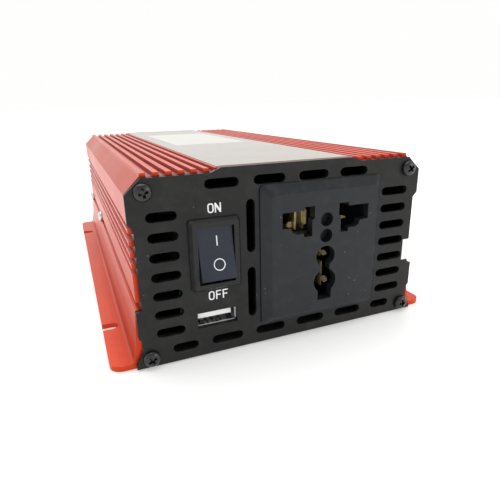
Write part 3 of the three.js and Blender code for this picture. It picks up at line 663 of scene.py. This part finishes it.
# polarity marks beside the terminals
for nm, z in (("plus", 43.0), ("minus", 16.5)):
    bm = bmesh.new()
    cz = z + 11.2 if nm == "plus" else z - 11.2
    if nm == "plus":
        pts = [(-1.8, -0.35), (-0.35, -0.35), (-0.35, -1.8), (0.35, -1.8), (0.35, -0.35), (1.8, -0.35), (1.8, 0.35), (0.35, 0.35), (0.35, 1.8), (-0.35, 1.8), (-0.35, 0.35), (-1.8, 0.35)]
    else:
        pts = [(-1.8, -0.35), (1.8, -0.35), (1.8, 0.35), (-1.8, 0.35)]
    slab(bm, [(14.5 + x, (z + zz)) for x, zz in pts], 194.0, 194.06)
    new_obj("terminal_mark_" + nm, bm, "ink")

# ---------------------------------------------------------------- USB port
bm = bmesh.new()
for i in range(4):
    cx = -25.6 - 0.45 + (-3.5, -1.0, 1.0, 3.5)[i]
    cuboid(bm, cx - 0.35, cx + 0.35, 3.6, 11.5, 12.21, 12.3)
new_obj("usb_contacts", bm, "brassdull")
# near-white strips along the front edge of the shell: painted highlight for the bright line of the steel edge
bm = bmesh.new()
cuboid(bm, -19.34, -19.06, 1.62, 2.2, 10.75, 14.45)
cuboid(bm, -31.9, -19.5, 1.62, 2.0, 10.06, 10.17)
rim = new_obj("usb_rim_highlight", bm, "edge")
bm = bmesh.new()
for cx in (-29.6, -25.0):
    lathe(bm, [(0, 0.62), (0.35, 0.56), (0.62, 0.36), (0.74, 0.10), (0.74, 0.0), (0, 0)], 20, place(W(cx, 3.4, 10.31), Vector((0, 0, 1))))
new_obj("usb_springs", bm, "brassdull")

# ---------------------------------------------------------------- socket contacts: pads and flared mouths, in lighter brass as painted highlight
def strip(bm, path, th, z0, z1, round_=0.0):
    """Bent sheet strip: path of (x, y) in mm, upright between two heights, with eased ends."""
    n = len(path)
    left, right = [], []
    for i, (x, y) in enumerate(path):
        a, b = path[max(i - 1, 0)], path[min(i + 1, n - 1)]
        dx, dy = b[0] - a[0], b[1] - a[1]
        k = math.hypot(dx, dy) or 1.0
        left.append((x - dy / k * th / 2, y + dx / k * th / 2))
        right.append((x + dy / k * th / 2, y - dx / k * th / 2))
    ease = [round_ * (1 - min(1.0, min(i, n - 1 - i) / 1.5)) for i in range(n)]
    rows = [[bm.verts.new(W(p[0], p[1], z)) for p, z in ((left[i], z0 + ease[i]), (right[i], z0 + ease[i]), (right[i], z1 - ease[i]), (left[i], z1 - ease[i]))] for i in range(n)]
    for a, b in zip(rows, rows[1:]):
        for q in range(4):
            bm.faces.new((a[q], a[(q + 1) % 4], b[(q + 1) % 4], b[q]))
    bm.faces.new(rows[0])
    bm.faces.new(rows[-1][::-1])


AX = 11.5
bm = bmesh.new()
slab(bm, ring_outline(7.0, 11.4, 1.0, 6), 0.6, 1.6)
bmesh.ops.translate(bm, verts=bm.verts, vec=Vector((AX / 1000, 0, 38.1 / 1000)))
new_obj("socket_shutter", bm, "epoxy")
bm = bmesh.new()
for s in (-1, 1):
    # rounded pad on each face that the blade rubs, and an outward lip ahead of it
    strip(bm, [(AX + s * 5.36, y) for y in (4.1, 4.9, 5.7, 6.5, 7.3, 8.1)], 0.20, 38.2, 43.7, 0.7)
    strip(bm, [(AX + s * 7.39, y) for y in (4.1, 4.9, 5.7, 6.5, 7.3, 8.1)], 0.20, 38.2, 43.7, 0.7)
    strip(bm, [(AX + s * 4.98, 4.0), (AX + s * 4.80, 3.4), (AX + s * 4.45, 2.7)], 0.45, 38.0, 43.9, 0.5)
pads = new_obj("blade_pads", bm, "brass_highlight")
# outer leaves that take the round pins, seen low in each wide opening; the left leaf in lighter brass as painted
# highlight, the right in the contact brass
for side, name, mat, z0, z1 in ((-1, "pin_leaf_left", "brass_highlight", 37.0, 39.4), (1, "pin_leaf_right", "contact", 38.3, 39.5)):
    bm = bmesh.new()
    strip(bm, [(AX + side * x, y) for x, y in ((8.4, 5.4), (9.2, 5.0), (10.0, 4.5), (10.7, 3.9), (11.3, 3.2))], 0.35, z0, z1, 0.4)
    new_obj(name, bm, mat)
# earth contact lips in the lighter brass: painted glints in the earth holes
bm = bmesh.new()
for s in (-1, 1):
    for x, z0, z1, e in ((2.8, 26.2, 28.2, 0.8), (3.4, 16.0, 18.6, 1.1)):
        strip(bm, [(AX + s * x, 5.0), (AX + s * (x + 0.08), 4.2), (AX + s * (x + 0.25), 3.4), (AX + s * (x + 0.50), 2.7), (AX + s * (x + 0.80), 2.1)], 0.40, z0, z1, e)
new_obj("earth_lips", bm, "brass_highlight")

# ---------------------------------------------------------------- fan guard of welded wire
GX, GZ, GY = -17.0, 29.5, 194.6
bm = bmesh.new()
for r in (23.1, 19.5, 15.8, 12.1):
    sweep(bm, [Vector((GX + r * math.cos(2 * math.pi * i / 72), GY, GZ + r * math.sin(2 * math.pi * i / 72))) for i in range(72)], 0.55, 8, True)
ringsobj = new_obj("guard_rings", bm, "zinc")
bm = bmesh.new()
for a in (45, 135, 225, 315):
    c, s = math.cos(math.radians(a)), math.sin(math.radians(a))
    sweep(bm, [Vector((GX + r * c, GY - 0.02, GZ + r * s)) for r in (7.8, 12, 17, 22, 25.9)], 0.5, 8)
    ex, ez = GX + 28.284 * c, GZ + 28.284 * s
    sweep(bm, [Vector((ex + 2.65 * math.cos(2 * math.pi * i / 32), GY, ez + 2.65 * math.sin(2 * math.pi * i / 32))) for i in range(32)], 0.55, 8, True)
lathe(bm, [(0, 0), (8.6, 0), (8.8, 0.3), (8.6, 1.0), (8.0, 1.15), (0, 1.15)], 40, place(W(GX, 194.02, GZ), Vector((0, 1, 0))))
legs = new_obj("guard_legs", bm, "zinc")
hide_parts("fan_guard")
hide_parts("fan_guard")

# ---------------------------------------------------------------- fluted terminal knobs
def knob(col, z):
    n = 160
    y = 199.2

    def circ(r):
        return lambda a: r

    def star(f):
        return lambda a: f * (8.58 - 0.62 * (0.5 - 0.5 * math.cos(20 * a)) ** 1.6)

    prof = [(circ(3.3), 13.6), (circ(3.3), 0.0), (circ(6.9), 0.0), (circ(7.1), 0.2), (circ(7.1), 2.5), (star(0.93), 2.75), (star(0.985), 3.15), (star(1.0), 3.7),
            (star(1.0), 13.6), (star(0.985), 14.5), (star(0.94), 15.2), (circ(7.35), 15.7), (circ(6.9), 15.95), (circ(5.3), 15.98), (circ(5.0), 15.75), (circ(4.9), 15.55)]
    bm = bmesh.new()
    rings = [[bm.verts.new(W(28 + f(2 * math.pi * i / n) * math.cos(2 * math.pi * i / n), y + h, z + f(2 * math.pi * i / n) * math.sin(2 * math.pi * i / n))) for i in range(n)] for f, h in prof]
    for a, b in zip(rings, rings[1:]):
        for i in range(n):
            bm.faces.new((a[i], a[(i + 1) % n], b[(i + 1) % n], b[i]))
    for r, h in ((rings[0], 13.6), (rings[-1], 15.5)):
        c = bm.verts.new(W(28, y + h, z))
        for i in range(n):
            bm.faces.new((r[i], r[(i + 1) % n], c))
    o = new_obj(f"knob_{col}_fine", bm, "term" + col, f"knob_{col}", deg=40)
    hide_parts(f"terminal_knob_{col}")


knob("red", 43.0)
knob("black", 16.5)

# ---------------------------------------------------------------- capacitors
def capacitor(node, mat, top=0.9):
    lo, hi = (Vector(v) * 1000 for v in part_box(node))
    r, h = (hi.x - lo.x) / 2 - 0.02, hi.z - lo.z
    m = place(Vector(((lo.x + hi.x) / 2000, (lo.y + hi.y) / 2000, lo.z / 1000)), Vector((0, 0, 1)))
    bm = bmesh.new()
    lathe(bm, [(0, 0), (r * 0.90, 0), (r * 0.98, 0.3), (r, 0.9), (r, 2.2), (r * 0.95, 2.6), (r * 0.95, 3.1), (r, 3.6), (r, h - 1.0), (r * 0.97, h - 0.35), (r * 0.9, h - 0.05),
               (r * 0.84, h - 0.05), (r * 0.83, h - 0.4), (0, h - 0.4)], 48, m)
    a = new_obj(node + "_sleeve", bm, mat)
    bm = bmesh.new()
    lathe(bm, [(0, h - 0.4), (r * 0.82, h - 0.4), (r * 0.82, h - 0.15), (r * 0.78, h - 0.08), (0, h - 0.08)], 48, m)
    b = new_obj(node + "_top", bm, "heatbar")
    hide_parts(node)
    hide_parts(node)


capacitor("input_capacitor_1", "sleeve")
capacitor("input_capacitor_2", "sleeve")
capacitor("output_capacitor", "epoxy")

# ---------------------------------------------------------------- choke: wire on a ring core
lo, hi = (Vector(v) * 1000 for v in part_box("choke"))
cx, cyy, cz = (lo.x + hi.x) / 2, (lo.y + hi.y) / 2 - Y0, (lo.z + hi.z) / 2
bm = bmesh.new()
for_core = []
R, rc = 9.0, 2.7
n, k = 48, 16
vr = [[bm.verts.new(W(cx + (R + rc * math.cos(2 * math.pi * j / k)) * math.cos(2 * math.pi * i / n), cyy + (R + rc * math.cos(2 * math.pi * j / k)) * math.sin(2 * math.pi * i / n), cz + rc * math.sin(2 * math.pi * j / k))) for j in range(k)] for i in range(n)]
for i in range(n):
    for j in range(k):
        bm.faces.new((vr[i][j], vr[(i + 1) % n][j], vr[(i + 1) % n][(j + 1) % k], vr[i][(j + 1) % k]))
core = new_obj("choke_core", bm, "tape")
bm = bmesh.new()
turns, steps = 26, 14
pts = []
for t in range(turns * steps):
    u = t / (turns * steps)
    a, p = u * 2 * math.pi * 0.93, 2 * math.pi * t / steps
    rr = rc + 0.5
    pts.append(Vector((cx + (R + rr * math.cos(p)) * math.cos(a), cyy + (R + rr * math.cos(p)) * math.sin(a), cz + rr * math.sin(p))))
sweep(bm, pts, 0.42, 6)
coil = new_obj("choke_wire", bm, "copper")
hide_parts("choke")
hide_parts("choke")

# ---------------------------------------------------------------- transformer winding: turns and tape
lo, hi = (Vector(v) * 1000 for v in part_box("transformer_winding"))
ax0, ax1, ay0, ay1 = lo.x, hi.x, lo.y - Y0, hi.y - Y0
bm = bmesh.new()
count = 15
for q in range(count):
    z = lo.z + 0.6 + (hi.z - lo.z - 1.2) * q / (count - 1)
    pts = []
    for (qx, qy, a0) in ((ax1 - 3.6, ay0 + 3.6, -90), (ax1 - 3.6, ay1 - 3.6, 0), (ax0 + 3.6, ay1 - 3.6, 90), (ax0 + 3.6, ay0 + 3.6, 180)):
        for s in range(6):
            a = math.radians(a0 + 90 * s / 5)
            pts.append(Vector((qx + 3.0 * math.cos(a), qy + 3.0 * math.sin(a), z)))
    sweep(bm, pts, 0.56, 8, True)
w1 = new_obj("winding_turns", bm, "copper")
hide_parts("transformer_winding")
bm = bmesh.new()
o_ = [(ax0 + 0.9, ax1 - 0.9, ay0 + 0.9, ay1 - 0.9), (ax0 + 4.9, ax1 - 4.9, ay0 + 4.9, ay1 - 4.9)]
v = []
for (a, b, c, d) in o_:
    for z in (lo.z + 0.05, hi.z - 0.05):
        v.append([bm.verts.new(W(x, y, z)) for x, y in ((a, c), (b, c), (b, d), (a, d))])
for A, B in ((v[0], v[1]), (v[1], v[3]), (v[3], v[2]), (v[2], v[0])):
    for i in range(4):
        bm.faces.new((A[i], A[(i + 1) % 4], B[(i + 1) % 4], B[i]))
w2 = new_obj("winding_bobbin", bm, "tape")
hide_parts("transformer_winding")

# ---------------------------------------------------------------- transistors: body, tab, legs
for i in (1, 2, 3, 4):
    node = f"transistor_{i}"
    lo, hi = (Vector(v) * 1000 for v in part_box(node))
    s = -1 if lo.x < 0 else 1
    wall = lo.x if s < 0 else hi.x
    y0, y1 = lo.y - Y0, hi.y - Y0
    bm = bmesh.new()
    a, b = sorted((wall, wall - s * 1.3))
    cuboid(bm, a, b, y0 + 0.05, y1 - 0.05, 13.5, hi.z - 0.05)
    tab = new_obj(node + "_tab", bm, "zinc")
    bevel(tab, 0.2)
    bm = bmesh.new()
    a, b = sorted((wall - s * 1.3, wall - s * 4.4))
    cuboid(bm, a, b, y0 + 0.1, y1 - 0.1, 13.2, 22.0)
    bod = new_obj(node + "_body", bm, "epoxy")
    bevel(bod, 0.4)
    bm = bmesh.new()
    for d in (-2.54, 0, 2.54):
        yc = (y0 + y1) / 2 + d
        a, b = sorted((wall - s * 2.2, wall - s * 2.8))
        cuboid(bm, a, b, yc - 0.4, yc + 0.4, lo.z + 0.02, 13.3)
    leg = new_obj(node + "_legs", bm, "steel")
    for p in (tab, bod, leg):
        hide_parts(node)

# ---------------------------------------------------------------- hub disc of the fan
bm = bmesh.new()
fl, fh = (Vector(v) * 1000 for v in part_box("fan_rotor"))
lathe(bm, [(0, 0), (9.6, 0), (9.7, 0.04), (9.6, 0.08), (0, 0.08)], 48, place(W(GX, fh.y - Y0 + 0.0, GZ), Vector((0, 1, 0))))
new_obj("fan_hub_disc", bm, "label", "impeller")

# ---------------------------------------------------------------- stage, lights, camera
bm = bmesh.new()
ringv = [[bm.verts.new((r * math.cos(2 * math.pi * i / 96), r * math.sin(2 * math.pi * i / 96), 0)) for i in range(96)] for r in (0.6, 3.0, 12.0, 60.0)]
bm.faces.new(ringv[0])
for p, q in zip(ringv, ringv[1:]):
    for i in range(96):
        bm.faces.new((p[i], q[i], q[(i + 1) % 96], p[(i + 1) % 96]))
me = bpy.data.meshes.new("floor")
bm.to_mesh(me); bm.free()
floor = bpy.data.objects.new("floor", me)
bpy.context.scene.collection.objects.link(floor)
fm = surf("pale_floor", (0.84, 0.835, 0.825), 0.6, 0.0, var=0.01, nscale=3, bump=0.01, bscale=80, rvar=0.05)
fb = next(n for n in fm.node_tree.nodes if n.type == "BSDF_PRINCIPLED")
fb.inputs["Emission Color"].default_value = (1, 1, 1, 1)
fb.inputs["Emission Strength"].default_value = 0.30
me.materials.append(fm)
floor.data.polygons.foreach_set("use_smooth", [True] * len(floor.data.polygons))
floor.location.z = cad_lo[2] - 0.0002
floor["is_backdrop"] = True

bpy.context.scene.view_settings.view_transform = "Standard"
w = bpy.data.worlds.new("studio")
bpy.context.scene.world = w
w.use_nodes = True
wt = w.node_tree
wc, ws, wr = wt.nodes.new("ShaderNodeTexCoord"), wt.nodes.new("ShaderNodeSeparateXYZ"), wt.nodes.new("ShaderNodeValToRGB")
wt.links.new(wc.outputs["Generated"], ws.inputs[0])
wt.links.new(ws.outputs[2], wr.inputs[0])
wr.color_ramp.elements[0].position, wr.color_ramp.elements[0].color = 0.25, (1.0, 0.998, 0.992, 1)
wr.color_ramp.elements[1].position, wr.color_ramp.elements[1].color = 0.80, (0.90, 0.90, 0.90, 1)
wy, wm = wt.nodes.new("ShaderNodeMapRange"), wt.nodes.new("ShaderNodeVectorMath")
wy.interpolation_type = "SMOOTHSTEP"
wy.inputs["From Min"].default_value, wy.inputs["From Max"].default_value = -0.9, 0.05
wy.inputs["To Min"].default_value, wy.inputs["To Max"].default_value = 0.55, 1.0
wz = wt.nodes.new("ShaderNodeMapRange")
wz.interpolation_type = "SMOOTHSTEP"
wz.inputs["From Min"].default_value, wz.inputs["From Max"].default_value = 0.38, 0.62
wz.inputs["To Min"].default_value, wz.inputs["To Max"].default_value = 0.0, 1.0
wt.links.new(ws.outputs[2], wz.inputs["Value"])
wq = wt.nodes.new("ShaderNodeMath")
wq.operation = "MULTIPLY"
wt.links.new(ws.outputs[1], wq.inputs[0])
wt.links.new(wz.outputs[0], wq.inputs[1])
wt.links.new(wq.outputs[0], wy.inputs["Value"])
wm.operation = "SCALE"
wt.links.new(wr.outputs[0], wm.inputs[0])
wt.links.new(wy.outputs[0], wm.inputs["Scale"])
wt.links.new(wm.outputs[0], wt.nodes["Background"].inputs[0])
w.node_tree.nodes["Background"].inputs[1].default_value = 1.0


def area(name, loc, target, size, power, colour=(1, 1, 1)):
    d = bpy.data.lights.new(name, "AREA")
    d.shape = "RECTANGLE"
    d.size, d.size_y = size
    d.energy = power
    d.color = colour
    o = bpy.data.objects.new(name, d)
    bpy.context.scene.collection.objects.link(o)
    o.location = loc
    o.rotation_mode = "QUATERNION"
    o.rotation_quaternion = (Vector(target) - Vector(loc)).to_track_quat("-Z", "Y")
    return o


area("key", (-0.05, 0.10, 0.85), (0, 0, 0.03), (0.7, 0.9), 3.0)
area("front_fill", (0.75, -0.85, 0.45), (0, -0.1, 0.03), (0.6, 0.5), 2.0)
area("top_back", (0.25, 0.75, 0.70), (0, 0.05, 0.05), (0.9, 0.5), 2.5)

cam_d = bpy.data.cameras.new("camera")
cam = bpy.data.objects.new("camera", cam_d)
bpy.context.scene.collection.objects.link(cam)
cam_d.sensor_width = 36.0
cam_d.lens = 431.95 / 500.0 * 36.0 * 1.004
cam_d.clip_start, cam_d.clip_end = 0.005, 300
right = Vector((0.92304852, -0.38412751, -0.02067563))
down = Vector((-0.14081501, -0.28738066, -0.94740883))
fwd = Vector((0.357984, 0.877415, -0.319357))
m = Matrix(((right.x, -down.x, -fwd.x, 0), (right.y, -down.y, -fwd.y, 0), (right.z, -down.z, -fwd.z, 0), (0, 0, 0, 1)))
cam.matrix_world = Matrix.Translation(Vector((-0.062432, (Y0 - 118.336) / 1000.0, 0.076413))) @ m
bpy.context.scene.camera = cam

bpy.context.view_layer.update()
lo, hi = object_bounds()
